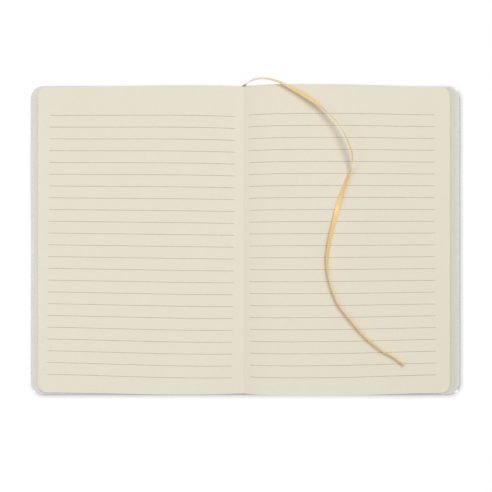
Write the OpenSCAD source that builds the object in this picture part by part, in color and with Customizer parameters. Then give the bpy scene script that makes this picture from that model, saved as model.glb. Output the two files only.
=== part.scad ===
// Soft-cover notebook, lying open on its covers with ruled leaves to the left and right of the gutter.
// +X runs to the right-hand page, +Y to the head, +Z up. The origin is on the table, under the middle of the spine.

/* [Cover] */
// Height of the cover, from tail to head
cover_h = 210.6; // [150:0.2:300]
// Width of each cover, from its hinge to its fore edge
cover_w = 140.5; // [110:0.5:220]
// Thickness of the soft cover
cover_t = 1.2; // [0.6:0.1:3]
// Radius of the cover's outer corners
cover_r = 8; // [3:0.5:14]

/* [Spine] */
// Width of the flat spine, between the two hinges
spine_w = 12; // [8:0.5:30]
// Thickness of the lining glued along the back of the leaves
lining_t = 0.3; // [0.2:0.05:1]
// Gap on each side between the lining and the hinge
lining_inset = 0.5; // [0.2:0.1:2]

/* [Endpapers] */
// Thickness of an endpaper, which is both the pastedown and the flyleaf
endpaper_t = 0.15; // [0.1:0.01:0.4]
// Width of cover that shows round the pastedown
pastedown_margin = 2; // [0.5:0.5:6]

/* [Leaves] */
// How far the cover reaches past the leaves at the head
head_square = 1.3; // [0.5:0.1:6]
// How far the cover reaches past the leaves at the tail
tail_square = 1.9; // [0.5:0.1:6]
// How far the cover reaches past the lowest leaves at the fore edge
fore_square = 2.5; // [1:0.5:8]
// Radius of the leaves' outer corners
page_r = 6.5; // [3:0.5:12]
// Thickness of one sewn section of leaves
section_t = 0.78; // [0.4:0.02:1.5]
// Distance of the gutter from the middle of the spine
gutter_x = -1.2; // [-3:0.1:3]
// Height of the gutter above the lowest leaf
gutter_h = 5; // [3.5:0.1:8]

/* [Left half] */
// Sections that lie open to the left
left_sections = 3; // [2:1:6]
// How far each section reaches past the one above it
left_fan = 1.55; // [0.5:0.05:3]
// Distance from the gutter to the crest of the left page
left_crest_x = 37; // [20:1:60]
// Height of the left crest above the lowest leaf
left_crest_h = 8.6; // [8:0.1:14]
// How sharply the left page rises out of the gutter
left_rise_power = 2; // [1.5:0.1:6]

/* [Right half] */
// Sections that lie open to the right
right_sections = 5; // [2:1:7]
// How far each section reaches past the one above it
right_fan = 1.35; // [0.5:0.05:3]
// Distance from the gutter to the crest of the right page
right_crest_x = 51; // [20:1:70]
// Height of the right crest above the lowest leaf
right_crest_h = 11.7; // [8:0.1:16]
// How sharply the right page rises out of the gutter
right_rise_power = 4.2; // [1.5:0.1:6]

/* [Ruling] */
// Distance from one ruled line to the next
rule_pitch = 8; // [5:0.5:12]
// Width of a printed line
rule_w = 0.3; // [0.2:0.05:0.6]
// Least distance from the last line to the tail of the leaf
tail_margin = 10.5; // [5:0.5:40]
// Distance from the head of the left page to its first line
left_head_margin = 19.9; // [10:0.1:40]
// Distance from the head of the right page to its first line
right_head_margin = 19.5; // [10:0.1:40]
// Distance from the left page's fore edge to its lines
left_fore_margin = 7.1; // [4:0.1:30]
// Distance from the left page's lines to the gutter
left_gutter_margin = 6.6; // [3:0.1:30]
// Distance from the right page's fore edge to its lines
right_fore_margin = 10.1; // [4:0.1:30]
// Distance from the right page's lines to the gutter
right_gutter_margin = 3.9; // [3:0.1:30]
// Turn of the left page's print, in degrees
left_skew_angle = -0.75; // [-1.5:0.05:1.5]
// Turn of the right page's print, in degrees
right_skew_angle = 0.35; // [-1.5:0.05:1.5]
// Gap between a printed line and the page
ink_lift = 0.02; // [0.01:0.01:0.1]
// Thickness of a printed line
ink_t = 0.1; // [0.05:0.01:0.2]

/* [Ribbon] */
// Width of the ribbon
ribbon_w = 3.2; // [2:0.1:8]
// Thickness of the ribbon
ribbon_t = 0.4; // [0.2:0.05:0.8]

/* [Hidden] */
$fn = 64;

// The front cover lies to the left of the spine and the back cover to the right.
FRONT = -1;
BACK = 1;

// Heights at which the layers lie on each other
hinge_x = spine_w / 2;
paste_z = cover_t;
fly_z = paste_z + endpaper_t;
leaf_z = fly_z + endpaper_t;
block_z = cover_t + lining_t;
gutter_z = leaf_z + gutter_h;

// Where the sheets end
cover_x = hinge_x + cover_w;
leaf_x = cover_x - fore_square;
leaf_head = cover_h / 2 - head_square;
leaf_tail = -cover_h / 2 + tail_square;
leaf_h = leaf_head - leaf_tail;
paste_r = max(cover_r - pastedown_margin, 1);

// A half of the open leaves: [side, sections, fan, crest distance, crest height, rise]
LEFT = [FRONT, left_sections, left_fan, left_crest_x, left_crest_h, left_rise_power];
RIGHT = [BACK, right_sections, right_fan, right_crest_x, right_crest_h, right_rise_power];

// The page surface is drawn through this many stations, which crowd towards the gutter.
STATIONS = 26;
CROWDING = 1.8;
// Length of a lower section that is drawn, in corner radii
FAN_REACH = 3;

function side(half) = half[0];
function sections(half) = half[1];
function crest_z(half) = leaf_z + half[4];
function fore_z(half) = leaf_z + sections(half) * section_t;

// Distance of a section's fore edge from the middle of the spine; the lowest section is 1.
function edge_x(half, level) = leaf_x - (level - 1) * half[2];

// Distance of the top leaf's fore edge from the gutter
function reach(half) = edge_x(half, sections(half)) - side(half) * gutter_x;

// Level at both ends
function ease(u) = u * u * (3 - 2 * u);

// Height of the page surface at a distance from the gutter
function page_z(half, d) =
    d < half[3]
    ? gutter_z + (crest_z(half) - gutter_z) * (1 - pow(1 - d / half[3], half[5]))
    : d < reach(half)
    ? fore_z(half) + (crest_z(half) - fore_z(half)) * ease((reach(half) - d) / (reach(half) - half[3]))
    : fore_z(half);

// Points [x, z] along the top leaf, from the gutter to the fore edge
function page_line(half) = [
    for (i = [0:STATIONS])
        let (d = reach(half) * pow(i / STATIONS, CROWDING))
        [gutter_x + side(half) * d, page_z(half, d)]
];

function reversed(list) = [for (i = [len(list) - 1:-1:0]) list[i]];

// Section through all the leaves under the two top leaves
function block_section() = concat(
    reversed(page_line(LEFT)),
    [for (p = page_line(RIGHT)) if (p[0] > gutter_x) p],
    [
        [edge_x(RIGHT, right_sections), leaf_z],
        [hinge_x, leaf_z],
        [hinge_x, block_z],
        [-hinge_x, block_z],
        [-hinge_x, leaf_z],
        [-edge_x(LEFT, left_sections), leaf_z]
    ]
);

// Section through a lower section of leaves near its fore edge
function fan_section(half, level) =
    let (
        far = edge_x(half, level),
        near = edge_x(half, sections(half)) - FAN_REACH * page_r,
        share = level / sections(half),
        inner_z = page_z(half, near - side(half) * gutter_x),
        flat_x = edge_x(half, sections(half))
    )
    [
        [near, leaf_z],
        [far, leaf_z],
        [far, leaf_z + share * (fore_z(half) - leaf_z)],
        [flat_x, leaf_z + share * (fore_z(half) - leaf_z)],
        [near, leaf_z + share * (inner_z - leaf_z)]
    ];

// Lays a section drawn in X and Z along Y, from tail to head
module along_leaf() {
    translate([0, leaf_head, 0]) rotate([90, 0, 0]) linear_extrude(height = leaf_h) children();
}

module on_side(which) {
    if (which == BACK) children();
    else mirror([1, 0, 0]) children();
}

// A sheet to the right of the spine, with its two outer corners rounded
module sheet_outline(inner, outer, tail, head, r) {
    translate([inner, tail]) square([outer - r - inner, head - tail]);
    translate([inner, tail + r]) square([outer - inner, head - tail - 2 * r]);
    for (y = [tail + r, head - r]) translate([outer - r, y]) circle(r = r);
}

module leaf_outline(inner, outer) {
    sheet_outline(inner, outer, leaf_tail, leaf_head, page_r);
}

module cover(which) {
    on_side(which) linear_extrude(height = cover_t)
        sheet_outline(hinge_x, cover_x, -cover_h / 2, cover_h / 2, cover_r);
}

module pastedown(which) {
    on_side(which) translate([0, 0, paste_z]) linear_extrude(height = endpaper_t)
        sheet_outline(
            hinge_x, cover_x - pastedown_margin,
            -cover_h / 2 + pastedown_margin, cover_h / 2 - pastedown_margin, paste_r
        );
}

module flyleaf(which) {
    on_side(which) translate([0, 0, fly_z]) linear_extrude(height = endpaper_t)
        leaf_outline(hinge_x, leaf_x);
}

module front_cover() { color("gainsboro") cover(FRONT); }

module back_cover() { color("gainsboro") cover(BACK); }

module spine_cover() {
    color("gainsboro") translate([-hinge_x, -cover_h / 2, 0]) cube([spine_w, cover_h, cover_t]);
}

module front_pastedown() { color("oldlace") pastedown(FRONT); }

module back_pastedown() { color("oldlace") pastedown(BACK); }

module front_flyleaf() { color("oldlace") flyleaf(FRONT); }

module back_flyleaf() { color("oldlace") flyleaf(BACK); }

module spine_lining() {
    color("burlywood") translate([-hinge_x + lining_inset, leaf_tail, cover_t])
        cube([spine_w - 2 * lining_inset, leaf_h, lining_t]);
}

// The lower sections of one half, each with its own rounded corners
module fan(half) {
    tall = crest_z(half);
    on_side(side(half)) for (level = [1:sections(half) - 1]) intersection() {
        along_leaf() polygon(fan_section(half, level));
        linear_extrude(height = tall) leaf_outline(0, edge_x(half, level));
    }
}

module page_block() {
    tall = max(crest_z(LEFT), crest_z(RIGHT)) + section_t;
    color("cornsilk") union() {
        intersection() {
            along_leaf() polygon(block_section());
            linear_extrude(height = tall) union() {
                mirror([1, 0]) leaf_outline(-hinge_x, edge_x(LEFT, left_sections));
                leaf_outline(-hinge_x, edge_x(RIGHT, right_sections));
            }
        }
        fan(LEFT);
        fan(RIGHT);
    }
}

rule_count = floor((leaf_h - max(left_head_margin, right_head_margin) - tail_margin) / rule_pitch) + 1;

// One printed line, drawn about its own middle: it follows the page under it.
function line_section(half, middle, length, skew) =
    let (
        page = page_line(half),
        near = middle - length / 2 * cos(skew),
        far = middle + length / 2 * cos(skew),
        inside = [for (p = page) if (p[0] > near && p[0] < far) p[0]],
        ordered = side(half) == BACK ? inside : reversed(inside),
        xs = concat([near], ordered, [far]),
        under = [for (x = xs) [(x - middle) / cos(skew), lookup(x, page) + ink_lift]]
    )
    concat(under, reversed([for (p = under) [p[0], p[1] + ink_t]]));

module ruling(half, head_margin, fore_margin, gutter_margin, skew) {
    length = reach(half) - fore_margin - gutter_margin;
    middle_x = gutter_x + side(half) * (gutter_margin + length / 2);
    first_y = leaf_head - head_margin;
    middle_y = first_y - (rule_count - 1) * rule_pitch / 2;
    for (i = [0:rule_count - 1]) {
        off = first_y - i * rule_pitch - middle_y;
        x = middle_x - off * sin(skew);
        translate([x, middle_y + off * cos(skew), 0]) rotate([0, 0, skew])
            rotate([90, 0, 0]) linear_extrude(height = rule_w, center = true)
                polygon(line_section(half, x, length, skew));
    }
}

module left_ruling() {
    color("darkgray") ruling(LEFT, left_head_margin, left_fore_margin, left_gutter_margin, left_skew_angle);
}

module right_ruling() {
    color("darkgray") ruling(RIGHT, right_head_margin, right_fore_margin, right_gutter_margin, right_skew_angle);
}

// The ribbon's route: [x, y, z, turn about its own run in degrees], out of the spine at the head,
// in a free arch to the right, over the head of the page, then on the page to its cut end
ROUTE = [
    [-2, 104.6, 2, -88], [-1, 104.8, 5, -86], [0.5, 105.3, 8, -78], [3.5, 106.6, 10.5, -63],
    [6.5, 107.4, 12.1, -59], [10, 107.7, 13.2, -59], [13.7, 107.5, 13.7, -58], [17.7, 106.7, 13.9, -54],
    [23.4, 104.7, 14.35, -52], [29.6, 101.3, 15.1, -45], [36, 97.7, 15.75, -35], [42.5, 93.3, 16.52, -36],
    [48.4, 89.2, 17.4, -52], [54.2, 83.8, 18.5, -64], [58.9, 78.9, 19.5, -70], [62.6, 73.8, 20.2, -73],
    [65.7, 68.1, 20.7, -64], [68.6, 61.2, 20.5, -62], [70.2, 55.8, 19.4, -62], [70.5, 50.9, 17.5, -70],
    [69.6, 45.9, 15.4, -98], [67.2, 39.7, 14.2, -122], [64, 31.5, 14.05, -139], [61.6, 22.5, 13.5, -174],
    [59.4, 13.8, 13.9, -199], [57.2, 5, 14.3, -213], [55.4, -3.5, 14.5, -223], [54.4, -11.5, 14.7, -229],
    [54.5, -20, 15, -243], [55.8, -27.4, 15, -253], [58, -34.7, 15, -256], [61.2, -42, 14.8, -256],
    [65.9, -48.6, 14.5, -255], [71.7, -55.5, 14, -250], [77.9, -62.6, 13.1, -247],
    [84.2, -68.5, 12.4, -252], [91.5, -74, 11.6, -255], [99, -78.3, 10.7, -258], [107, -84, 9.45, -250]
];
RINGS_PER_STEP = 2;

// Half of the ribbon's cross-section: [share of half the width, share of half the thickness]
RIM = [[1, 0.4], [0.75, 1], [-0.75, 1], [-1, 0.4]];
RIM_ALL = concat(RIM, [for (p = RIM) -p]);

function route_at(i) = ROUTE[min(max(i, 0), len(ROUTE) - 1)];

// A smooth curve through the route's points
function between(i, u) =
    let (a = route_at(i - 1), b = route_at(i), c = route_at(i + 1), d = route_at(i + 2))
    b + (u * (c - a) + u * u * (2 * a - 5 * b + 4 * c - d) + u * u * u * (3 * b - a - 3 * c + d)) / 2;

RINGS = [
    for (i = [0:len(ROUTE) - 2], k = [0:RINGS_PER_STEP - 1]) between(i, k / RINGS_PER_STEP),
    ROUTE[len(ROUTE) - 1]
];

function place(v) = [v[0], v[1], v[2]];
function unit(v) = v / norm(v);

// The points round one ring of the ribbon
function ring(i) =
    let (
        last = len(RINGS) - 1,
        run = unit(place(RINGS[min(i + 1, last)]) - place(RINGS[max(i - 1, 0)])),
        across = unit(cross(run, [0, 0, 1])),
        up = cross(across, run),
        turn = RINGS[i][3],
        wide = across * cos(turn) - up * sin(turn),
        thick = up * cos(turn) + across * sin(turn)
    )
    [for (p = RIM_ALL) place(RINGS[i]) + wide * p[0] * ribbon_w / 2 + thick * p[1] * ribbon_t / 2];

module ribbon_marker() {
    n = len(RIM_ALL);
    last = len(RINGS) - 1;
    points = [for (i = [0:last]) each ring(i)];
    sides = [
        for (i = [0:last - 1], k = [0:n - 1])
            let (a = i * n + k, b = i * n + (k + 1) % n)
            each [[a, a + n, b], [b, a + n, b + n]]
    ];
    start = [for (k = [1:n - 2]) [0, k, k + 1]];
    end = [for (k = [1:n - 2]) [last * n, last * n + k + 1, last * n + k]];
    color("goldenrod") polyhedron(points = points, faces = concat(sides, start, end));
}

front_cover();
back_cover();
spine_cover();
front_pastedown();
back_pastedown();
front_flyleaf();
back_flyleaf();
spine_lining();
page_block();
left_ruling();
right_ruling();
ribbon_marker();
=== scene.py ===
"""The looks of a soft-cover notebook that lies open on its covers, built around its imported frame.

Lengths with a plain number are in millimetres, and MM turns them to metres. The ribbon's route is in metres.
"""

import logging
import math
import random
from collections.abc import Callable, Iterator, Sequence
from contextlib import contextmanager
from dataclasses import dataclass
from enum import Enum
from typing import Any

import bmesh
import bpy
from bpy.types import Material, Node, NodeSocket, NodeTree, Object, Texture
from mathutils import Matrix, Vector


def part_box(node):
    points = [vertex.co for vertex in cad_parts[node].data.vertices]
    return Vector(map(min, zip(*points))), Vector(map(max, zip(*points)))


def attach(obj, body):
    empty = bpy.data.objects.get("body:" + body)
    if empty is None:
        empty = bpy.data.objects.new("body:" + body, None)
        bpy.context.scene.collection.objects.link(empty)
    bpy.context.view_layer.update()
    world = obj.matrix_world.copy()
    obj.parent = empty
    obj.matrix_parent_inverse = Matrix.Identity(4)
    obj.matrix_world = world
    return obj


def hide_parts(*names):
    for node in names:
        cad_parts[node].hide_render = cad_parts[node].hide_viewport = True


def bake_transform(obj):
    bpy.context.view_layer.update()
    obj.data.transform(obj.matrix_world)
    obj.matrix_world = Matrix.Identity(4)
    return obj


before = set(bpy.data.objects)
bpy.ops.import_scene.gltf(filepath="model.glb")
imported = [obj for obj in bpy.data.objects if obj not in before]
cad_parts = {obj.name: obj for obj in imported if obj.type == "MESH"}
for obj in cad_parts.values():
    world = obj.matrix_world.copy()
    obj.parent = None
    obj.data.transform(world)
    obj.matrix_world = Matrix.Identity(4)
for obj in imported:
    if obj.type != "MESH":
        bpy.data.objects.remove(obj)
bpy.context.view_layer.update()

log = logging.getLogger("notebook")

MM = 0.001
# Places closer than this are taken as one
HAIR = MM / 100


class Side(Enum):
    """A side of the gutter, with its sign along X: the front cover lies left and the back cover right."""

    FRONT = -1
    BACK = 1

    @property
    def word(self) -> str:
        """The side's name as pieces and bodies use it."""
        return self.name.lower()

    @property
    def body(self) -> str:
        """The body that this side's cover moves with."""
        return f"{self.word}_cover"

    @property
    def page(self) -> str:
        """The side's name as its page uses it."""
        return "left" if self is Side.FRONT else "right"


class Axis(Enum):
    """An axis of the frame, as the bisect operator wants it."""

    X = (1, 0, 0)
    Y = (0, 1, 0)


# The body of the leaves, the spine and the ribbon
BLOCK = "block"
# The mesh attribute that marks the leaves of the lower sections, which are painted darker: painted shade for
# the steps of the fan
FAN_SHADE_ATTRIBUTE = "fan_shade_mark"
# Refractive index of paper and of plastic coating
SOLID_IOR = 1.5
# The values that noise mostly takes
NOISE_RANGE = (0.3, 0.7)
# Phase that Blender's wave texture gains over one unit of its coordinate
WAVE_PACE = 20


# Colour and nodes

def linear(code: str) -> tuple[float, float, float, float]:
    """Turns an sRGB hex colour to Blender's linear colour.

    Args:
        code: Six hex digits after a hash sign.

    Returns:
        Red, green, blue and an alpha of 1.
    """
    parts = [int(code[i:i + 2], 16) / 255 for i in (1, 3, 5)]
    return (*(c / 12.92 if c <= 0.04045 else ((c + 0.055) / 1.055) ** 2.4 for c in parts), 1.0)


def add_node(tree: NodeTree, kind: str, inputs: dict[Any, Any] | None = None,
             **settings: Any) -> Node:
    """Adds a node with its settings, values and links.

    Args:
        tree: The tree that the node goes into.
        kind: Blender's name for the node's type.
        inputs: Input name or number to a value, or to the socket that feeds it.
        settings: Properties of the node itself.

    Returns:
        The new node.
    """
    node = tree.nodes.new(kind)
    for name, value in settings.items():
        setattr(node, name, value)
    for key, value in (inputs or {}).items():
        if isinstance(value, NodeSocket):
            tree.links.new(value, node.inputs[key])
        else:
            node.inputs[key].default_value = value
    return node


def new_material(name: str) -> tuple[Material, NodeTree, Node]:
    """Makes an empty node material.

    Args:
        name: The real material's name.

    Returns:
        The material, its node tree and its output node.
    """
    material = bpy.data.materials.new(name)
    material.use_nodes = True
    tree = material.node_tree
    tree.nodes.clear()
    return material, tree, add_node(tree, "ShaderNodeOutputMaterial")


def noise(tree: NodeTree, place: Node, size: float, detail: float = 3.0) -> Node:
    """Adds noise in the object's own coordinates, with features this many millimetres across."""
    return add_node(tree, "ShaderNodeTexNoise", {
        "Vector": place.outputs["Object"], "Scale": 1 / (size * MM), "Detail": detail})


def map_range(tree: NodeTree, value: NodeSocket, source: tuple[float, float],
              target: tuple[float, float] = (0.0, 1.0)) -> NodeSocket:
    """Maps a value from one range to another.

    Args:
        tree: The tree that the node goes into.
        value: The socket with the value.
        source: The two ends of its range.
        target: What the two ends become.

    Returns:
        The socket with the result.
    """
    inputs = {"Value": value, **dict(enumerate((*source, *target), start=1))}
    return add_node(tree, "ShaderNodeMapRange", inputs).outputs[0]


def mix(tree: NodeTree, share: NodeSocket, first: Any, second: Any) -> NodeSocket:
    """Mixes two colours, with the first alone where the share is 0 and the second alone where it is 1."""
    return add_node(tree, "ShaderNodeMix", {0: share, 6: first, 7: second}, data_type="RGBA").outputs[2]


def wave_scale(spacing: float) -> float:
    """Scale of a wave texture whose bands are this many millimetres apart."""
    return 2 * math.pi / (WAVE_PACE * spacing * MM)


@dataclass(frozen=True)
class WritingPaper:
    """Uncoated, calendered writing paper: matt, with faint fibres, and cloudy against the light."""

    name: str
    face: str
    cloud: str
    # Colour painted on upright faces, the cut edges: painted shade
    edge: str
    fan_shade: float = 0.07
    cloud_size: float = 26
    fibre_length: float = 2.4
    fibre_width: float = 0.35
    fibre_shade: float = 0.035
    fibre_curl: float = 1.2
    edge_turn: tuple[float, float] = (0.35, 0.65)
    roughness: float = 0.9
    specular: float = 0.2
    tooth_size: float = 0.5
    tooth_depth: float = 0.02
    tooth_strength: float = 0.8

    def material(self) -> Material:
        """Builds the paper, with painted shade on its upright cut edges and on the marked leaves of the lower
        sections.
        """
        material, tree, output = new_material(self.name)
        place = add_node(tree, "ShaderNodeTexCoord")
        cloudy = noise(tree, place, self.cloud_size, detail=2.0)
        shaded = mix(tree, cloudy.outputs["Fac"], linear(self.face), linear(self.cloud))
        across = 1 / (self.fibre_width * MM)
        lying = add_node(tree, "ShaderNodeMapping", {
            "Vector": place.outputs["Object"], "Scale": (1 / (self.fibre_length * MM), across, across)})
        fibres = add_node(tree, "ShaderNodeTexNoise", {
            "Vector": lying.outputs[0], "Scale": 1.0, "Detail": 3.0, "Distortion": self.fibre_curl})
        fibre_tone = map_range(tree, fibres.outputs["Fac"], NOISE_RANGE,
                               (1 - self.fibre_shade, 1 + self.fibre_shade / 2))
        # Marked leaves are painted darker: painted shade where the lower sections show in the fan's steps
        fan_shade_mark = add_node(tree, "ShaderNodeAttribute", attribute_name=FAN_SHADE_ATTRIBUTE)
        fan_shade_tone = map_range(tree, fan_shade_mark.outputs["Fac"], (0.0, 1.0), (1.0, 1 - self.fan_shade))
        for tone in (fibre_tone, fan_shade_tone):
            fan_shade = add_node(tree, "ShaderNodeVectorMath", {0: shaded, 1: tone}, operation="MULTIPLY")
            shaded = fan_shade.outputs[0]
        # Faces that stand upright, the cut edges, get the edge colour: painted shade by the normal's
        # direction
        facing = add_node(tree, "ShaderNodeSeparateXYZ", {0: place.outputs["Normal"]})
        upright = add_node(tree, "ShaderNodeMath", {0: facing.outputs[2]}, operation="ABSOLUTE")
        cut = map_range(tree, upright.outputs[0], self.edge_turn, (1.0, 0.0))
        tooth = noise(tree, place, self.tooth_size)
        bump = add_node(tree, "ShaderNodeBump", {
            "Height": tooth.outputs["Fac"], "Distance": self.tooth_depth * MM,
            "Strength": self.tooth_strength})
        shader = add_node(tree, "ShaderNodeBsdfPrincipled", {
            "Base Color": mix(tree, cut, shaded, linear(self.edge)), "Roughness": self.roughness,
            "IOR": SOLID_IOR, "Specular IOR Level": self.specular, "Normal": bump.outputs[0]})
        tree.links.new(shader.outputs[0], output.inputs[0])
        return material


@dataclass(frozen=True)
class CoatedCover:
    """Polyurethane-coated cover stock, embossed with a fine pebble grain: matt, with painted shade in the
    grain's hollows and grey mottling at random.
    """

    name: str
    face: str
    grain_shade_and_mottle: str
    grain_size: float = 0.8
    grain_depth: float = 0.05
    pebble_softness: float = 0.5
    valley_walls: tuple[float, float] = (0.25, 0.85)
    grain_shade_share: float = 0.7
    mottle_size: float = 18
    mottle_share: float = 0.35
    roughness: float = 0.62
    roughness_spread: float = 0.06
    specular: float = 0.35

    def material(self) -> Material:
        """Builds the cover stock; the grain is drawn near twice its real size, so that it shows."""
        material, tree, output = new_material(self.name)
        place = add_node(tree, "ShaderNodeTexCoord")
        warp = noise(tree, place, self.grain_size * 2, detail=2.0)
        warped = add_node(tree, "ShaderNodeVectorMath", {
            0: warp.outputs["Color"], 1: (self.grain_size * MM,) * 3, 2: place.outputs["Object"]},
            operation="MULTIPLY_ADD")
        pebbles = add_node(tree, "ShaderNodeTexVoronoi", {
            "Vector": warped.outputs[0], "Scale": 1 / (self.grain_size * MM),
            "Smoothness": self.pebble_softness}, feature="SMOOTH_F1")
        mottle = noise(tree, place, self.mottle_size).outputs["Fac"]
        # Painted shade in the hollows of the grain, plus random mottling, both mixed towards the darker
        # colour
        grain_shade = map_range(tree, pebbles.outputs["Distance"], self.valley_walls, (0.0, self.grain_shade_share))
        shade = map_range(tree, mottle, NOISE_RANGE, (0.0, self.mottle_share))
        both = add_node(tree, "ShaderNodeMath", {0: grain_shade, 1: shade}, operation="ADD", use_clamp=True)
        colour = mix(tree, both.outputs[0], linear(self.face), linear(self.grain_shade_and_mottle))
        gloss = map_range(tree, mottle, NOISE_RANGE,
                          (self.roughness - self.roughness_spread, self.roughness + self.roughness_spread))
        bump = add_node(tree, "ShaderNodeBump", {
            "Height": pebbles.outputs["Distance"], "Distance": self.grain_depth * MM}, invert=True)
        shader = add_node(tree, "ShaderNodeBsdfPrincipled", {
            "Base Color": colour, "Roughness": gloss, "IOR": SOLID_IOR,
            "Specular IOR Level": self.specular, "Normal": bump.outputs[0]})
        tree.links.new(shader.outputs[0], output.inputs[0])
        return material


@dataclass(frozen=True)
class WovenSatin:
    """Warp-faced polyester satin: a sheen that runs along the ribbon, over fine lengthwise threads."""

    name: str
    warp: str
    shadow: str
    thread_width: float = 0.32
    float_length: float = 1.6
    thread_depth: float = 0.035
    thread_strength: float = 0.7
    relief_range: tuple[float, float] = (0.05, 0.6)
    roughness: float = 0.34
    anisotropy: float = 0.6
    specular: float = 0.6
    sheen: float = 0.35
    sheen_roughness: float = 0.35

    def material(self) -> Material:
        """Builds the satin on the ribbon's own map, which is in metres along and across it."""
        material, tree, output = new_material(self.name)
        own_map = add_node(tree, "ShaderNodeUVMap", uv_map=RIBBON_MAP)
        threads = add_node(tree, "ShaderNodeTexWave", {
            "Vector": own_map.outputs[0], "Scale": wave_scale(self.thread_width)}, bands_direction="Y")
        floats = add_node(tree, "ShaderNodeMapping", {
            "Vector": own_map.outputs[0],
            "Scale": (1 / (self.float_length * MM), 1 / (self.thread_width * MM), 1.0)})
        slubs = add_node(tree, "ShaderNodeTexNoise", {
            "Vector": floats.outputs[0], "Scale": 1.0, "Detail": 2.0})
        relief = add_node(tree, "ShaderNodeMath", {
            0: threads.outputs["Fac"], 1: slubs.outputs["Fac"]}, operation="MULTIPLY")
        tone = map_range(tree, relief.outputs[0], self.relief_range)
        colour = mix(tree, tone, linear(self.shadow), linear(self.warp))
        bump = add_node(tree, "ShaderNodeBump", {
            "Height": relief.outputs[0], "Distance": self.thread_depth * MM,
            "Strength": self.thread_strength})
        along = add_node(tree, "ShaderNodeTangent", direction_type="UV_MAP", uv_map=RIBBON_MAP)
        shader = add_node(tree, "ShaderNodeBsdfPrincipled", {
            "Base Color": colour, "Roughness": self.roughness, "Anisotropic": self.anisotropy,
            "Sheen Weight": self.sheen, "Sheen Roughness": self.sheen_roughness,
            "Specular IOR Level": self.specular, "Normal": bump.outputs[0], "Tangent": along.outputs[0]})
        tree.links.new(shader.outputs[0], output.inputs[0])
        return material


@dataclass(frozen=True)
class PrintedInk:
    """Offset ink soaked into uncoated paper: matt grey, a little uneven along the line."""

    name: str
    full: str
    thin: str
    patch_size: float = 3
    patch_edge: tuple[float, float] = (0.35, 0.65)
    roughness: float = 0.9
    specular: float = 0.2

    def material(self) -> Material:
        """Builds the ink."""
        material, tree, output = new_material(self.name)
        place = add_node(tree, "ShaderNodeTexCoord")
        patches = noise(tree, place, self.patch_size)
        spread = map_range(tree, patches.outputs["Fac"], self.patch_edge)
        shader = add_node(tree, "ShaderNodeBsdfPrincipled", {
            "Base Color": mix(tree, spread, linear(self.full), linear(self.thin)),
            "Roughness": self.roughness, "Specular IOR Level": self.specular})
        tree.links.new(shader.outputs[0], output.inputs[0])
        return material


@dataclass(frozen=True)
class BookCloth:
    """Starched open-weave lining cloth, glued flat: threads stand over the dried glue between them."""

    name: str
    thread: str
    glue: str
    thread_spacing: float = 0.9
    thread_depth: float = 0.08
    thread_wander: float = 0.3
    roughness: float = 0.85

    def material(self) -> Material:
        """Builds the cloth from two crossed sets of threads."""
        material, tree, output = new_material(self.name)
        place = add_node(tree, "ShaderNodeTexCoord")
        sets = [
            add_node(tree, "ShaderNodeTexWave", {
                "Vector": place.outputs["Object"], "Scale": wave_scale(self.thread_spacing),
                "Distortion": self.thread_wander}, bands_direction=direction).outputs["Fac"]
            for direction in "XY"
        ]
        over = add_node(tree, "ShaderNodeMath", {0: sets[0], 1: sets[1]}, operation="MAXIMUM")
        colour = mix(tree, over.outputs[0], linear(self.glue), linear(self.thread))
        bump = add_node(tree, "ShaderNodeBump", {
            "Height": over.outputs[0], "Distance": self.thread_depth * MM})
        shader = add_node(tree, "ShaderNodeBsdfPrincipled", {
            "Base Color": colour, "Roughness": self.roughness, "Normal": bump.outputs[0]})
        tree.links.new(shader.outputs[0], output.inputs[0])
        return material


# Shaping by operators

def only(*chosen: Object) -> None:
    """Selects these objects alone and makes the first one active."""
    bpy.ops.object.select_all(action="DESELECT")
    for each in chosen:
        each.select_set(True)
    bpy.context.view_layer.objects.active = chosen[0]


@contextmanager
def editing(piece: Object, element: str) -> Iterator[None]:
    """Opens a piece alone in edit mode, with nothing selected.

    Args:
        piece: The piece to shape.
        element: What is selected in it: VERT, EDGE or FACE.
    """
    only(piece)
    bpy.ops.object.mode_set(mode="EDIT")
    bpy.ops.mesh.select_mode(type=element)
    bpy.ops.mesh.select_all(action="DESELECT")
    yield
    bpy.ops.object.mode_set(mode="OBJECT")


def pick(piece: Object, elements: str, wanted: Callable[[Any], bool]) -> None:
    """Selects the wanted elements, in the open edit mode.

    Args:
        piece: The piece in edit mode.
        elements: Which ones are looked at: verts, edges or faces.
        wanted: Says whether one of them is selected.
    """
    shape = bmesh.from_edit_mesh(piece.data)
    for each in getattr(shape, elements):
        each.select_set(wanted(each))
    shape.select_flush_mode()
    bmesh.update_edit_mesh(piece.data)


def cut_across(axis: Axis, places: Sequence[float]) -> None:
    """Cuts everything in the open edit mode by planes.

    Args:
        axis: The axis that the planes stand across.
        places: Where each plane crosses the axis, in metres.
    """
    for place in places:
        bpy.ops.mesh.select_all(action="SELECT")
        bpy.ops.mesh.bisect(plane_co=[place * part for part in axis.value], plane_no=axis.value)


def evenly(low: float, high: float, step: float) -> list[float]:
    """Places between low and high, about a step apart, without the two ends."""
    parts = max(round((high - low) / step), 1)
    return [low + (high - low) * i / parts for i in range(1, parts)]


def settle(piece: Object) -> None:
    """Applies a piece's place, turn and size to its mesh."""
    only(piece)
    bpy.ops.object.transform_apply(location=True, rotation=True, scale=True)


def finish_with(piece: Object, kind: str, **settings: Any) -> None:
    """Adds a modifier to a piece and applies it."""
    only(piece)
    modifier = piece.modifiers.new(kind.title(), kind)
    for name, value in settings.items():
        setattr(modifier, name, value)
    bpy.ops.object.modifier_apply(modifier=modifier.name)


def face_outwards(piece: Object) -> None:
    """Turns all faces of a closed piece outwards."""
    with editing(piece, "FACE"):
        bpy.ops.mesh.select_all(action="SELECT")
        bpy.ops.mesh.normals_make_consistent(inside=False)


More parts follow.
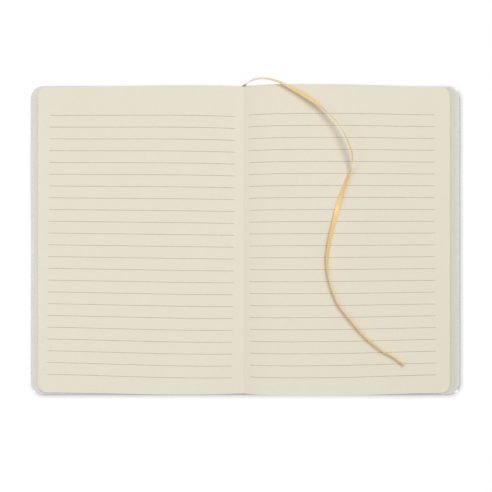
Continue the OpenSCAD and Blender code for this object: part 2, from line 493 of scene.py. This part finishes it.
def smooth(piece: Object, angle: float = 40) -> None:
    """Shades a piece smooth, with edges sharper than the angle kept."""
    only(piece)
    bpy.ops.object.shade_smooth_by_angle(angle=math.radians(angle))


def join(pieces: Sequence[Object], name: str) -> Object:
    """Joins objects to one piece of that name."""
    only(*pieces)
    if len(pieces) > 1:
        bpy.ops.object.join()
    joined = bpy.context.view_layer.objects.active
    joined.name = joined.data.name = name
    return joined


def dress(piece: Object, material: Material) -> None:
    """Gives a piece its only material."""
    piece.data.materials.clear()
    piece.data.materials.append(material)


def weigh(piece: Object, group: str, weight: Callable[[Vector], float]) -> None:
    """Fills a vertex group by place.

    Args:
        piece: The piece, whose mesh is in the frame.
        group: The group's name.
        weight: The weight at a place, from 0 to 1.
    """
    own = piece.vertex_groups.new(name=group)
    for vertex in piece.data.vertices:
        own.add([vertex.index], weight(vertex.co), "REPLACE")


def ease(share: float) -> float:
    """A smooth step from 0 to 1, level at both ends."""
    share = min(max(share, 0), 1)
    return share * share * (3 - 2 * share)


def clouds(name: str, size: float) -> Texture:
    """A soft random texture whose swellings are about size across."""
    texture = bpy.data.textures.new(name, "CLOUDS")
    texture.noise_scale = size * MM
    texture.noise_depth = 1
    return texture


# Cover and endpapers

# Share of its normal along an axis from which a face counts as facing that way
SQUARE_ON = 0.9
# Two faces whose normals' upright shares add up to less than this aren't both level
NOT_BOTH_LEVEL = 1.5


@dataclass(frozen=True)
class Slab:
    """A flat sheet of one thickness on one side of the gutter, with its two outer corners rounded."""

    inner: float
    outer: float
    tail: float
    head: float
    low: float
    high: float
    corner: float = 0
    rim: float = 0
    mesh_step: float = 0
    corner_segments: int = 12
    rim_segments: int = 4

    def build(self, name: str, side: Side) -> Object:
        """Builds the slab.

        Args:
            name: The piece's name.
            side: The side of the gutter that it lies on.

        Returns:
            The piece, with its place in its mesh.
        """
        bpy.ops.object.select_all(action="DESELECT")
        middle = ((self.inner + self.outer) / 2 * side.value, (self.tail + self.head) / 2,
                  (self.low + self.high) / 2)
        size = (self.outer - self.inner, self.head - self.tail, self.high - self.low)
        bpy.ops.mesh.primitive_cube_add(size=1, location=[v * MM for v in middle])
        piece = bpy.context.object
        piece.name = piece.data.name = name
        piece.scale = [v * MM for v in size]
        settle(piece)
        inner_x = self.inner * side.value * MM
        outer_x = self.outer * side.value * MM
        with editing(piece, "EDGE"):
            if self.corner:
                pick(piece, "edges", lambda e: all(abs(v.co.x - outer_x) < HAIR for v in e.verts)
                     and abs(e.verts[0].co.y - e.verts[1].co.y) < HAIR)
                bpy.ops.mesh.bevel(offset=self.corner * MM, segments=self.corner_segments, affect="EDGES",
                                   clamp_overlap=False)
            if self.rim:
                pick(piece, "edges", lambda e: abs(e.verts[0].co.z - e.verts[1].co.z) < HAIR
                     and any(abs(v.co.x - inner_x) > HAIR for v in e.verts) and len(e.link_faces) == 2
                     and sum(abs(face.normal.z) for face in e.link_faces) < NOT_BOTH_LEVEL)
                bpy.ops.mesh.bevel(offset=self.rim * MM, segments=self.rim_segments, affect="EDGES",
                                   clamp_overlap=False)
            if self.mesh_step:
                ends = sorted((inner_x, outer_x))
                cut_across(Axis.X, evenly(*ends, self.mesh_step * MM))
                cut_across(Axis.Y, evenly(self.tail * MM, self.head * MM, self.mesh_step * MM))
        return piece


@dataclass(frozen=True)
class Cover:
    """The wrap of cover stock, scored at both edges of its spine, with its endpapers.

    The fold strip of each cover starts on the hinge and is a piece apart from the rest of the cover.
    """

    hinge: float
    outer: float
    height: float
    thickness: float
    paste_outer: float
    paste_height: float
    paste_thickness: float
    corner: float = 8
    paste_corner: float = 6
    rim: float = 0.2
    fold: float = 3
    fold_step: float = 0.3
    panel_step: float = 7
    score_depth: float = 0.3
    score_width: float = 1.2
    wave: float = 0.5
    wave_size: float = 55

    @staticmethod
    def from_frame() -> "Cover":
        """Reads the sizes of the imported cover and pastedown."""
        low, high = (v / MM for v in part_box("back_cover"))
        paste_low, paste_high = (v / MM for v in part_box("back_pastedown"))
        return Cover(hinge=low.x, outer=high.x, height=high.y - low.y, thickness=high.z - low.z,
                     paste_outer=paste_high.x, paste_height=paste_high.y - paste_low.y,
                     paste_thickness=paste_high.z - paste_low.z)

    def build(self, stock: Material, paper: Material) -> list[Object]:
        """Builds the whole wrap and its pastedowns.

        Args:
            stock: The cover's material.
            paper: The endpapers' material.

        Returns:
            The pieces.
        """
        pieces = [self.spine(stock)]
        for side in Side:
            pieces += [self.panel(side, stock), self.fold_strip(side, stock),
                       self.pastedown(side, paper), self.paste_fold(side, paper)]
        return pieces

    def spine(self, stock: Material) -> Object:
        """Builds the flat of the spine, one half and its mirror image joined in the middle."""
        half = self.height / 2
        halves = [Slab(0, self.hinge, -half, half, 0, self.thickness, rim=self.rim).build(side.word, side)
                  for side in Side]
        piece = join(halves, "spine_skin")
        with editing(piece, "FACE"):
            bpy.ops.mesh.select_all(action="SELECT")
            bpy.ops.mesh.remove_doubles(threshold=HAIR)
        self.drop_inner_walls(piece)
        smooth(piece)
        dress(piece, stock)
        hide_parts("spine_cover")
        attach(piece, BLOCK)
        return piece

    def drop_inner_walls(self, piece: Object) -> None:
        """Deletes the walls left inside the spine where its halves meet."""
        with editing(piece, "FACE"):
            pick(piece, "faces", lambda face: abs(face.calc_center_median().x) < HAIR
                 and abs(face.normal.x) > SQUARE_ON)
            bpy.ops.mesh.delete(type="FACE")
            bpy.ops.mesh.select_all(action="SELECT")
            bpy.ops.mesh.normals_make_consistent(inside=False)

    def panel(self, side: Side, stock: Material) -> Object:
        """Builds one cover beyond its fold, which waves a little where no board holds it."""
        half = self.height / 2
        inner = self.hinge + self.fold
        piece = Slab(inner, self.outer, -half, half, 0, self.thickness, self.corner, self.rim,
                     self.panel_step).build(f"{side.word}_skin", side)
        weigh(piece, "wave", lambda co: ease((abs(co.x) / MM - inner) / (self.outer - inner)))
        for direction, turn in (("X", 1), ("Y", 2)):
            finish_with(piece, "DISPLACE", texture=clouds(f"{side.word}_wave_{turn}", self.wave_size),
                        texture_coords="LOCAL", direction=direction, strength=self.wave * MM, mid_level=0.5,
                        vertex_group="wave")
        smooth(piece)
        dress(piece, stock)
        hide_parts(f"{side.word}_cover")
        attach(piece, side.body)
        return piece

    def fold_strip(self, side: Side, stock: Material) -> Object:
        """Builds the strip next to the hinge, with the score pressed into its outside."""
        half = self.height / 2
        piece = self.hinge_strip(f"{side.word}_fold", side, half, 0, self.thickness, self.rim)
        middle = self.hinge + self.fold / 2
        for vertex in piece.data.vertices:
            if vertex.co.z < MM * self.thickness / 2:
                off = abs(abs(vertex.co.x) / MM - middle) / self.score_width
                vertex.co.z += self.score_depth * MM * (1 - ease(off))
        self.bend(piece, side)
        dress(piece, stock)
        return piece

    def hinge_strip(self, name: str, side: Side, half: float, low: float, high: float,
                    rim: float = 0) -> Object:
        """Builds a strip next to the hinge, cut lengthwise so that it can bend.

        Args:
            name: The piece's name.
            side: The side of the gutter that it lies on.
            half: Half of its length.
            low: Height of its underside.
            high: Height of its top.
            rim: Radius of its rounded rims.

        Returns:
            The piece.
        """
        piece = Slab(self.hinge, self.hinge + self.fold, -half, half, low, high, rim=rim).build(name, side)
        ends = sorted((self.hinge * side.value, (self.hinge + self.fold) * side.value))
        with editing(piece, "VERT"):
            cut_across(Axis.X, [v * MM for v in evenly(*ends, self.fold_step)])
        return piece

    def bend(self, piece: Object, side: Side) -> None:
        """Shades a strip next to the hinge smooth and applies its place to its mesh."""
        smooth(piece)
        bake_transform(piece)

    def pastedown(self, side: Side, paper: Material) -> Object:
        """Builds the endpaper half that is glued inside the cover."""
        half = self.paste_height / 2
        sheet = Slab(self.hinge + self.fold, self.paste_outer, -half, half, self.thickness,
                     self.thickness + self.paste_thickness, self.paste_corner)
        piece = sheet.build(f"{side.word}_paste", side)
        smooth(piece)
        dress(piece, paper)
        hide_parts(f"{side.word}_pastedown")
        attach(piece, side.body)
        return piece

    def paste_fold(self, side: Side, paper: Material) -> Object:
        """Builds the strip of endpaper that bends over the hinge."""
        piece = self.hinge_strip(f"{side.word}_paste_fold", side, self.paste_height / 2, self.thickness,
                                 self.thickness + self.paste_thickness)
        self.bend(piece, side)
        dress(piece, paper)
        return piece


# Leaves and ruling

LEAVES_PER_SECTION = 8


@dataclass(frozen=True)
class Stack:
    """The sewn sections on one side of the gutter. Each reaches past the one above it."""

    side: Side
    sections: int
    fan: float
    crest_x: float
    crest_h: float
    rise: float
    base: float
    lowest_edge: float
    tail: float
    head: float
    fold_room: float
    gutter_x: float = -1.2
    gutter_h: float = 5
    section_t: float = 0.78
    leaf_t: float = 0.07
    section_share: float = 0.93
    looseness: float = 0.25
    loose_from: float = 0.55
    slump: float = 0.6
    spine_bend: float = 6
    corner: float = 6.5
    corner_segments: int = 10
    stations: int = 40
    crowding: float = 1.8
    cross_cuts: int = 13
    fore_jitter: float = 0.14
    end_jitter: float = 0.12
    ripple_size: float = 45
    ripple_height: float = 0.3
    ripple_from: float = 0.67
    seed: int = 11

    def reach(self, section: int) -> float:
        """Distance of a section's fore edge from the gutter; the lowest section is 1."""
        return self.lowest_edge - (section - 1) * self.fan - self.side.value * self.gutter_x

    def page_height(self, d: float) -> float:
        """Height of the page in view above the lowest leaf, at a distance from the gutter."""
        fore = self.sections * self.section_t
        if d < self.crest_x:
            return self.gutter_h + (self.crest_h - self.gutter_h) * (1 - (1 - d / self.crest_x) ** self.rise)
        top = self.reach(self.sections)
        return fore + (self.crest_h - fore) * ease((top - d) / (top - self.crest_x))

    def height(self, share: float, d: float) -> float:
        """Height of a leaf at a distance from the gutter.

        Args:
            share: The share of the leaves that lie under it.
            d: Distance from the gutter.

        Returns:
            The height above the lowest leaf. Near the fore edge the lower sections sink away from the
            top one.
        """
        under_top = 1 - 1 / self.sections
        out = d / self.reach(self.sections)
        sunk = self.looseness * ease((out - self.loose_from) / (1 - self.loose_from))
        if share > under_top:
            share -= sunk * under_top * (1 - share) * self.sections
        else:
            share -= sunk * share
        return self.page_height(d) * share

    def leaf_line(self, section: int, leaf: int, shorter: float) -> list[tuple[float, float]]:
        """Section through one leaf, from its fold in the spine to its fore edge.

        Args:
            section: The leaf's section, where the lowest is 1.
            leaf: The leaf in its section, where the lowest is 1.
            shorter: How far its fore edge stays behind its section's.

        Returns:
            Points of X and Z.
        """
        inside = 1 - (1 - leaf / LEAVES_PER_SECTION) * self.section_share
        share = (section - 1 + inside) / self.sections
        fold = (1 - share) * self.fold_room
        reach = self.reach(section) - shorter
        slump = self.slump * math.sqrt(1 - share)
        bend = self.spine_bend * (1 - share)
        line = [(self.gutter_x + self.side.value * fold, self.base + self.leaf_t / 2)]
        for i in range(self.stations + 1):
            d = fold + (reach - fold) * (i / self.stations) ** self.crowding
            climbed = 1 - slump * (max(1 - (d - fold) / bend, 0) ** 3 if bend else 0)
            z = self.base + self.height(share, d) * climbed - self.leaf_t / 2
            line.append((self.gutter_x + self.side.value * d, z))
        return line

    def leaf(self, section: int, leaf: int, luck: random.Random) -> Object:
        """Builds one leaf: an edge along the spine, extruded over the hump to the fore edge.

        Args:
            section: The leaf's section, where the lowest is 1.
            leaf: The leaf in its section, where the lowest is 1.
            luck: The source of its small faults of trimming.

        Returns:
            The leaf, without thickness.
        """
        top = section == self.sections and leaf == LEAVES_PER_SECTION
        line = self.leaf_line(section, leaf, 0 if top else luck.uniform(0, self.fore_jitter))
        head = self.head - (0 if top else luck.uniform(0, self.end_jitter))
        tail = self.tail + (0 if top else luck.uniform(0, self.end_jitter))
        height = head - tail
        bpy.ops.object.select_all(action="DESELECT")
        x, z = line[0]
        bpy.ops.mesh.primitive_plane_add(size=height * MM,
                                         location=((x + height / 2) * MM, (head + tail) / 2 * MM, z * MM))
        piece = bpy.context.object
        settle(piece)
        with editing(piece, "VERT"):
            pick(piece, "verts", lambda v: v.co.x > x * MM + HAIR)
            bpy.ops.mesh.delete(type="VERT")
            bpy.ops.mesh.select_all(action="SELECT")
            bpy.ops.mesh.subdivide(number_cuts=self.cross_cuts)
            for (x0, z0), (x1, z1) in zip(line, line[1:]):
                step = ((x1 - x0) * MM, 0, (z1 - z0) * MM)
                bpy.ops.mesh.extrude_region_move(TRANSFORM_OT_translate={"value": step})
            fore = line[-1][0] * MM
            pick(piece, "verts", lambda v: abs(v.co.x - fore) < HAIR
                 and min(abs(v.co.y - head * MM), abs(v.co.y - tail * MM)) < HAIR)
            bpy.ops.mesh.bevel(offset=self.corner * MM, segments=self.corner_segments, affect="VERTICES",
                               clamp_overlap=False)
        return piece

    def section(self, number: int, paper: Material) -> Object:
        """Builds one section as a piece.

        Args:
            number: The section, where the lowest is 1.
            paper: The leaves' material.

        Returns:
            The piece.
        """
        luck = random.Random(self.seed * 100 + self.side.value * 10 + number)
        leaves = [self.leaf(number, i + 1, luck) for i in range(LEAVES_PER_SECTION)]
        piece = join(leaves, f"{self.side.page}_section_{number}")
        top = self.base + self.crest_h
        weigh(piece, "ripple",
              lambda co: ease((co.z / MM - self.base) / (top - self.base) / self.ripple_from))
        finish_with(piece, "DISPLACE", texture=clouds(f"{piece.name}_ripple", self.ripple_size),
                    texture_coords="LOCAL", direction="Z", strength=self.ripple_height * MM, mid_level=0.5,
                    vertex_group="ripple")
        finish_with(piece, "SOLIDIFY", thickness=self.leaf_t * MM, offset=0)
        face_outwards(piece)
        smooth(piece, angle=30)
        # The lower sections get the mark for painted shade, which darkens them where they show in the fan's
        # steps
        if number < self.sections:
            tone = piece.data.attributes.new(FAN_SHADE_ATTRIBUTE, "FLOAT", "POINT")
            tone.data.foreach_set("value", [1.0] * len(piece.data.vertices))
        dress(piece, paper)
        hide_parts("page_block")
        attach(piece, BLOCK)
        return piece

    def build(self, paper: Material) -> list[Object]:
        """Builds all sections, from the lowest to the one in view."""
        return [self.section(i + 1, paper) for i in range(self.sections)]


@dataclass(frozen=True)
class Ruling:
    """The printed lines of one page, which were printed a little askew."""

    head_margin: float
    fore_margin: float
    gutter_margin: float
    skew: float
    lines: int = 23
    pitch: float = 8
    width: float = 0.27
    room_above: float = 5
    lift: float = 0.02
    ink_t: float = 0.02
    mesh_step: float = 1.5

    def build(self, stack: Stack, page: Object, ink: Material) -> Object:
        """Builds the lines and lays them on the page.

        Args:
            stack: The leaves that the lines are printed on.
            page: The piece whose top leaf is in view.
            ink: The lines' material.

        Returns:
            The piece.
        """
        length = stack.reach(stack.sections) - self.fore_margin - self.gutter_margin
        first_y = stack.head - self.head_margin
        middle_y = first_y - (self.lines - 1) * self.pitch / 2
        middle_x = stack.gutter_x + stack.side.value * (self.gutter_margin + length / 2)
        above = stack.base + stack.crest_h + self.room_above
        turn = math.radians(self.skew)
        pattern = self.strip(length)
        lines = []
        for i in range(self.lines):
            off = first_y - i * self.pitch - middle_y
            line = pattern if i == 0 else self.copy(pattern)
            lines.append((line, (middle_x - off * math.sin(turn), middle_y + off * math.cos(turn), above)))
        for line, place in lines:
            line.rotation_euler.z = turn
            line.location = [v * MM for v in place]
        piece = join([line for line, _ in lines], f"{stack.side.page}_lines")
        settle(piece)
        finish_with(piece, "SHRINKWRAP", target=page, wrap_method="PROJECT", use_project_z=True,
                    use_negative_direction=True, use_positive_direction=False)
        with editing(piece, "VERT"):
            bpy.ops.mesh.select_all(action="SELECT")
            bpy.ops.transform.translate(value=(0, 0, self.lift * MM))
        finish_with(piece, "SOLIDIFY", thickness=self.ink_t * MM, offset=1)
        dress(piece, ink)
        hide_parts(f"{stack.side.page}_ruling")
        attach(piece, BLOCK)
        return piece

    def strip(self, length: float) -> Object:
        """Builds one straight line about the origin, cut across so that it can follow the page."""
        bpy.ops.object.select_all(action="DESELECT")
        bpy.ops.mesh.primitive_plane_add(size=1)
        piece = bpy.context.object
        piece.scale = (length * MM, self.width * MM, 1)
        settle(piece)
        with editing(piece, "VERT"):
            cut_across(Axis.X, evenly(-length / 2 * MM, length / 2 * MM, self.mesh_step * MM))
        return piece

    @staticmethod
    def copy(pattern: Object) -> Object:
        """Copies a line with a mesh of its own."""
        twin = pattern.copy()
        twin.data = pattern.data.copy()
        bpy.context.collection.objects.link(twin)
        return twin


# Ribbon

RIBBON_MAP = "along_and_across"

# X, Y and Z in metres, and the ribbon's turn about its own run in degrees
RIBBON_ROUTE = (
    (-0.002, 0.1046, 0.002, -88), (-0.001, 0.1048, 0.005, -86), (0.0005, 0.1053, 0.008, -78),
    (0.0035, 0.1066, 0.0105, -63), (0.0065, 0.1074, 0.0121, -59), (0.01, 0.1077, 0.0132, -59),
    (0.0137, 0.1075, 0.0137, -58), (0.0177, 0.1067, 0.0139, -54), (0.0234, 0.1047, 0.01435, -52),
    (0.0296, 0.1013, 0.0151, -45), (0.036, 0.0977, 0.01575, -35), (0.0425, 0.0933, 0.01652, -36),
    (0.0484, 0.0892, 0.0174, -52), (0.0542, 0.0838, 0.0185, -64), (0.0589, 0.0789, 0.0195, -70),
    (0.0626, 0.0738, 0.0202, -73), (0.0657, 0.0681, 0.0207, -64), (0.0686, 0.0612, 0.0205, -62),
    (0.0702, 0.0558, 0.0194, -62), (0.0705, 0.0509, 0.0175, -70), (0.0696, 0.0459, 0.0154, -98),
    (0.0672, 0.0397, 0.0142, -122), (0.064, 0.0315, 0.01405, -139), (0.0616, 0.0225, 0.0135, -174),
    (0.0594, 0.0138, 0.0139, -199), (0.0572, 0.005, 0.0143, -213), (0.0554, -0.0035, 0.0145, -223),
    (0.0544, -0.0115, 0.0147, -229), (0.0545, -0.02, 0.015, -243), (0.0558, -0.0274, 0.015, -253),
    (0.058, -0.0347, 0.015, -256), (0.0612, -0.042, 0.0148, -256), (0.0659, -0.0486, 0.0145, -255),
    (0.0717, -0.0555, 0.014, -250), (0.0779, -0.0626, 0.0131, -247), (0.0842, -0.0685, 0.0124, -252),
    (0.0915, -0.074, 0.0116, -255), (0.099, -0.0783, 0.0107, -258), (0.107, -0.084, 0.00945, -250),
)


@dataclass(frozen=True)
class Ribbon:
    """The flat satin marker, from the head of the spine over the right-hand page to its cut end."""

    width: float = 3.2
    thickness: float = 0.22
    rings_per_step: int = 4
    rim: tuple[tuple[float, float], ...] = (
        (1.0, 0.45), (0.96, 0.95), (0.9, 1.0), (0.84, 0.8), (0.42, 0.85), (0.0, 0.9),
        (-0.42, 0.85), (-0.84, 0.8), (-0.9, 1.0), (-0.96, 0.95), (-1.0, 0.45))

    def rings(self) -> list[Vector]:
        """Smooth stations along the route, each a place with the turn as a fourth number."""
        points = [Vector(p) for p in RIBBON_ROUTE]
        rings = []
        for i in range(len(points) - 1):
            a, b, c, d = (points[min(max(i + k, 0), len(points) - 1)] for k in (-1, 0, 1, 2))
            for step in range(self.rings_per_step):
                u = step / self.rings_per_step
                rings.append(b + (u * (c - a) + u ** 2 * (2 * a - 5 * b + 4 * c - d)
                                  + u ** 3 * (3 * b - a - 3 * c + d)) / 2)
        return [*rings, points[-1]]

    def build(self, satin: Material) -> Object:
        """Sweeps the ribbon's section along its route.

        Args:
            satin: The ribbon's material.

        Returns:
            The piece.
        """
        rings = self.rings()
        places = [ring.to_3d() for ring in rings]
        shape = bmesh.new()
        own_map = shape.loops.layers.uv.new(RIBBON_MAP)
        section = [*self.rim, *((-s, -t) for s, t in self.rim)]
        travelled = [0.0]
        for a, b in zip(places, places[1:]):
            travelled.append(travelled[-1] + (b - a).length)
        loops = []
        for i, place in enumerate(places):
            run = (places[min(i + 1, len(places) - 1)] - places[max(i - 1, 0)]).normalized()
            across = run.cross(Vector((0, 0, 1))).normalized()
            up = across.cross(run)
            turn = math.radians(rings[i][3])
            wide = across * math.cos(turn) - up * math.sin(turn)
            thick = up * math.cos(turn) + across * math.sin(turn)
            loops.append([shape.verts.new(place + wide * (s * self.width / 2 * MM)
                                          + thick * (t * self.thickness / 2 * MM)) for s, t in section])
        for i, (one, two) in enumerate(zip(loops, loops[1:])):
            for k in range(len(section)):
                after = (k + 1) % len(section)
                face = shape.faces.new((one[k], two[k], two[after], one[after]))
                for loop, at, point in zip(face.loops, (i, i + 1, i + 1, i), (k, k, after, after)):
                    loop[own_map].uv = (travelled[at], section[point][0] * self.width / 2 * MM)
        shape.faces.new(reversed(loops[0]))
        shape.faces.new(loops[-1])
        bmesh.ops.recalc_face_normals(shape, faces=shape.faces)
        mesh = bpy.data.meshes.new("ribbon")
        shape.to_mesh(mesh)
        shape.free()
        piece = bpy.data.objects.new("ribbon", mesh)
        bpy.context.collection.objects.link(piece)
        smooth(piece, angle=50)
        dress(piece, satin)
        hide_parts("ribbon_marker")
        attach(piece, BLOCK)
        log.info("ribbon length %.1f mm", travelled[-1] / MM)
        return piece


# Studio

@dataclass(frozen=True)
class Softbox:
    """A square lamp that shines on the middle of the notebook."""

    name: str
    place: tuple[float, float, float]
    size: float
    watts: float

    def build(self) -> None:
        """Hangs the lamp."""
        data = bpy.data.lights.new(self.name, "AREA")
        data.shape = "SQUARE"
        data.size = self.size * MM
        data.energy = self.watts
        lamp = bpy.data.objects.new(self.name, data)
        lamp.location = [v * MM for v in self.place]
        lamp.rotation_euler = (-lamp.location).to_track_quat("-Z", "Y").to_euler()
        bpy.context.collection.objects.link(lamp)


@dataclass(frozen=True)
class Studio:
    """The photograph's camera, a white table and soft light from both sides."""

    camera_place: tuple[float, float, float] = (0.5, -3.9, 450)
    focal_pixels: float = 656.4
    image_pixels: int = 492
    sensor: float = 36
    clip: tuple[float, float] = (10, 20000)
    table_size: float = 6000
    table_gap: float = 0.05
    table_lip: float = 1
    shade_reach: float = 3.5
    shade_full: float = 0.15
    shade_samples: int = 32
    table_roughness: float = 0.8
    table_specular: float = 0.1
    shade_lean: tuple[float, float, float] = (-0.45, 0.45, 0.8)
    lamps: tuple[Softbox, ...] = (
        Softbox("right_softbox", (450, 500, 1500), size=950, watts=13.1),
        Softbox("left_softbox", (-430, -80, 660), size=550, watts=1.5))
    ambient: float = 0.42
    backdrop: float = 1.0
    white: str = "#FFFFFF"

    def camera(self) -> None:
        """Sets up the camera, which looks straight down."""
        data = bpy.data.cameras.new("camera")
        data.sensor_width = self.sensor
        data.lens = self.focal_pixels / self.image_pixels * self.sensor
        data.clip_start, data.clip_end = (v * MM for v in self.clip)
        camera = bpy.data.objects.new("camera", data)
        camera.location = [v * MM for v in self.camera_place]
        bpy.context.collection.objects.link(camera)
        bpy.context.scene.camera = camera

    def table(self) -> None:
        """Lays the table just under the notebook, open in its middle, so that light gets to the underside."""
        bpy.ops.object.select_all(action="DESELECT")
        bpy.ops.mesh.primitive_plane_add(size=self.table_size * MM, location=(0, 0, -self.table_gap * MM))
        table = bpy.context.object
        table.name = "table"
        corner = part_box("back_cover")[1]
        with editing(table, "FACE"):
            for axis, half in ((Axis.X, corner.x), (Axis.Y, corner.y)):
                cut_across(axis, [self.table_lip * MM - half, half - self.table_lip * MM])
            pick(table, "faces", lambda face: face.calc_center_median().length < self.table_lip * MM)
            bpy.ops.mesh.delete(type="FACE")
        table.data.materials.append(self.table_top())

    def table_top(self) -> Material:
        """Builds the table's white top.

        Light bounces from it. The camera sees its contact shade alone and looks through the rest, so that the
        table hides neither the underside nor a cover that is folded down.

        Returns:
            The material.
        """
        material, tree, output = new_material("white lacquered board")
        rays = add_node(tree, "ShaderNodeLightPath")
        surface = add_node(tree, "ShaderNodeNewGeometry")
        board = add_node(tree, "ShaderNodeBsdfPrincipled", {
            "Base Color": linear(self.white), "Roughness": self.table_roughness,
            "Specular IOR Level": self.table_specular})
        toward_light = add_node(tree, "ShaderNodeCombineXYZ", dict(enumerate(self.shade_lean)))
        open_sky = add_node(tree, "ShaderNodeAmbientOcclusion", {
            "Distance": self.shade_reach * MM, "Normal": toward_light.outputs[0]}, samples=self.shade_samples)
        shade = map_range(tree, open_sky.outputs["AO"], (self.shade_full, 1.0))
        tint = add_node(tree, "ShaderNodeMath", {
            0: shade, 1: surface.outputs["Backfacing"]}, operation="MAXIMUM")
        glimpse = add_node(tree, "ShaderNodeBsdfTransparent", {"Color": tint.outputs[0]})
        passed = add_node(tree, "ShaderNodeMath", {
            0: rays.outputs["Is Camera Ray"], 1: surface.outputs["Backfacing"]}, operation="MAXIMUM")
        top = add_node(tree, "ShaderNodeMixShader", {
            0: passed.outputs[0], 1: board.outputs[0], 2: glimpse.outputs[0]})
        tree.links.new(top.outputs[0], output.inputs[0])
        return material

    def light(self) -> None:
        """Hangs the softboxes in a white room."""
        for lamp in self.lamps:
            lamp.build()
        world = bpy.data.worlds.new("room")
        world.use_nodes = True
        bpy.context.scene.world = world
        tree = world.node_tree
        tree.nodes.clear()
        rays = add_node(tree, "ShaderNodeLightPath")
        seen = add_node(tree, "ShaderNodeMath", {
            0: rays.outputs["Is Camera Ray"], 1: rays.outputs["Is Glossy Ray"]}, operation="MAXIMUM")
        strength = map_range(tree, seen.outputs[0], (0.0, 1.0), (self.ambient, self.backdrop))
        background = add_node(tree, "ShaderNodeBackground", {
            "Color": linear(self.white), "Strength": strength})
        output = add_node(tree, "ShaderNodeOutputWorld")
        tree.links.new(background.outputs[0], output.inputs[0])

    def build(self) -> None:
        """Sets up everything but the camera."""
        self.table()
        self.light()
        bpy.context.scene.view_settings.view_transform = "Standard"


def stacks() -> dict[Side, Stack]:
    """The leaves to the left and right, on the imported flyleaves."""
    low, high = (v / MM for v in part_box("page_block"))
    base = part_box("front_flyleaf")[1].z / MM
    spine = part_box("spine_lining")[1].x / MM
    common = {"base": base, "lowest_edge": high.x, "tail": low.y, "head": high.y}
    return {
        Side.FRONT: Stack(Side.FRONT, sections=3, fan=1.55, crest_x=37, crest_h=8.6, rise=2,
                          fold_room=spine + Stack.gutter_x, **common),
        Side.BACK: Stack(Side.BACK, sections=5, fan=1.35, crest_x=51, crest_h=11.7, rise=4.2,
                         fold_room=spine - Stack.gutter_x, **common),
    }


def main() -> None:
    """Builds the notebook, piece by piece, and the studio around it."""
    logging.basicConfig(level=logging.INFO, format="%(name)s: %(message)s")
    studio = Studio()
    studio.camera()
    satin = WovenSatin("polyester satin ribbon", warp="#FFE19B", shadow="#E6BC72").material()
    leaf_paper = WritingPaper(
        "cream writing paper", face="#E6E0CF", cloud="#E4DECC", edge="#D9D2BD").material()
    end_paper = WritingPaper(
        "uncoated endpaper", face="#E4E1D4", cloud="#E0DDD0", edge="#D8D4C4").material()
    stock = CoatedCover("polyurethane cover stock", face="#E2E1E2", grain_shade_and_mottle="#CDCDCF").material()
    ink = PrintedInk("grey offset ink", full="#A19C8E", thin="#B3AEA0").material()
    cloth = BookCloth("starched lining cloth", thread="#D8D0BC", glue="#B8AE94").material()
    pieces = [Ribbon().build(satin)]
    pieces += Cover.from_frame().build(stock, end_paper)
    rulings = {
        Side.FRONT: Ruling(head_margin=19.9, fore_margin=7.1, gutter_margin=6.6, skew=-0.75),
        Side.BACK: Ruling(head_margin=19.5, fore_margin=10.1, gutter_margin=3.9, skew=0.35),
    }
    for side, stack in stacks().items():
        sections = stack.build(leaf_paper)
        pieces += sections
        pieces.append(rulings[side].build(stack, sections[-1], ink))
        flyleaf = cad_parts[f"{side.word}_flyleaf"]
        dress(flyleaf, end_paper)
    dress(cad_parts["spine_lining"], cloth)
    for piece in pieces:
        log.info("%s: %d faces", piece.name, len(piece.data.polygons))
    studio.build()


if __name__ == "__main__":
    main()
